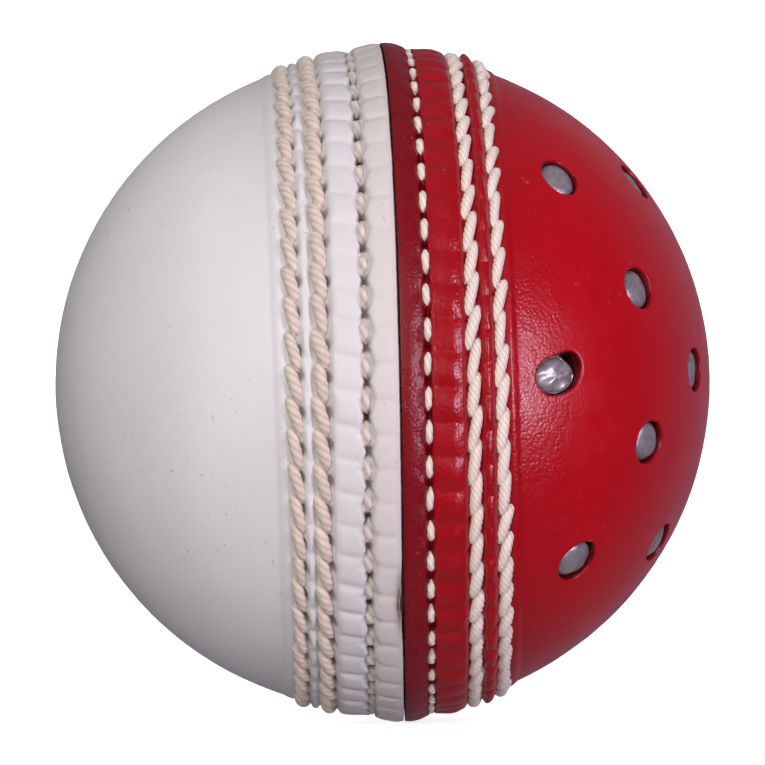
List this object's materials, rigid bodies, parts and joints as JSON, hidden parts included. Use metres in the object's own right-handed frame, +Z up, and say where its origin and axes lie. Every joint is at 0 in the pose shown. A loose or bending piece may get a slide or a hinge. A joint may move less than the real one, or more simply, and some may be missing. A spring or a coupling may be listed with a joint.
{
  "type": "cricket ball",
  "caption": "Hard leather-covered ball, white on one side and red on the other, with a raised stitched seam round the join and domed metal pellets set into the red leather.",
  "frame": {"origin": "centre of the ball", "axes": "+X along the seam's axis, from the middle of the white cup to the middle of the red cup; +Z up, with the ball standing on its seam; +Y completes a right-handed frame"},
  "size_m": [0.0702, 0.0728, 0.0728],
  "materials": {
    "white_leather": "lacquered, satin",
    "red_leather": "lacquered, gloss",
    "beige_thread": "twisted linen, matt",
    "cream_thread": "twisted linen, matt",
    "cork_rubber": "moulded cork and rubber granules",
    "cork": "cut cork",
    "yarn": "worsted wool yarn",
    "lining": "undyed split leather",
    "pellet_metal": "tumbled, satin"
  },
  "bodies": {
    "root": {"core_nucleus": "cork_rubber", "yarn_winding_inner": "yarn", "yarn_winding_middle": "yarn", "yarn_winding_outer": "yarn", "cork_wafer_inner_1": "cork", "cork_wafer_inner_2": "cork", "cork_wafer_inner_3": "cork", "cork_wafer_inner_4": "cork", "cork_wafer_inner_5": "cork", "cork_wafer_inner_6": "cork", "cork_wafer_outer_1": "cork", "cork_wafer_outer_2": "cork", "cork_wafer_outer_3": "cork", "cork_wafer_outer_4": "cork", "cork_wafer_outer_5": "cork", "cork_wafer_outer_6": "cork", "seam_lining_white": "lining", "seam_lining_red": "lining", "cover_white": "white_leather", "cover_red": "red_leather", "stitches_white_closing": "cream_thread", "stitches_white_middle": "beige_thread", "stitches_white_outer": "beige_thread", "stitches_red_closing": "cream_thread", "stitches_red_middle": "cream_thread", "stitches_red_outer": "cream_thread", "pellet_outer_1": "pellet_metal", "pellet_outer_2": "pellet_metal", "pellet_outer_3": "pellet_metal", "pellet_outer_4": "pellet_metal", "pellet_outer_5": "pellet_metal", "pellet_outer_6": "pellet_metal", "pellet_outer_7": "pellet_metal", "pellet_outer_8": "pellet_metal", "pellet_middle_1": "pellet_metal", "pellet_middle_2": "pellet_metal", "pellet_middle_3": "pellet_metal", "pellet_middle_4": "pellet_metal", "pellet_middle_5": "pellet_metal", "pellet_middle_6": "pellet_metal", "pellet_middle_7": "pellet_metal", "pellet_middle_8": "pellet_metal", "pellet_inner_1": "pellet_metal", "pellet_inner_2": "pellet_metal", "pellet_inner_3": "pellet_metal", "pellet_inner_4": "pellet_metal"}
  },
  "joints": []
}
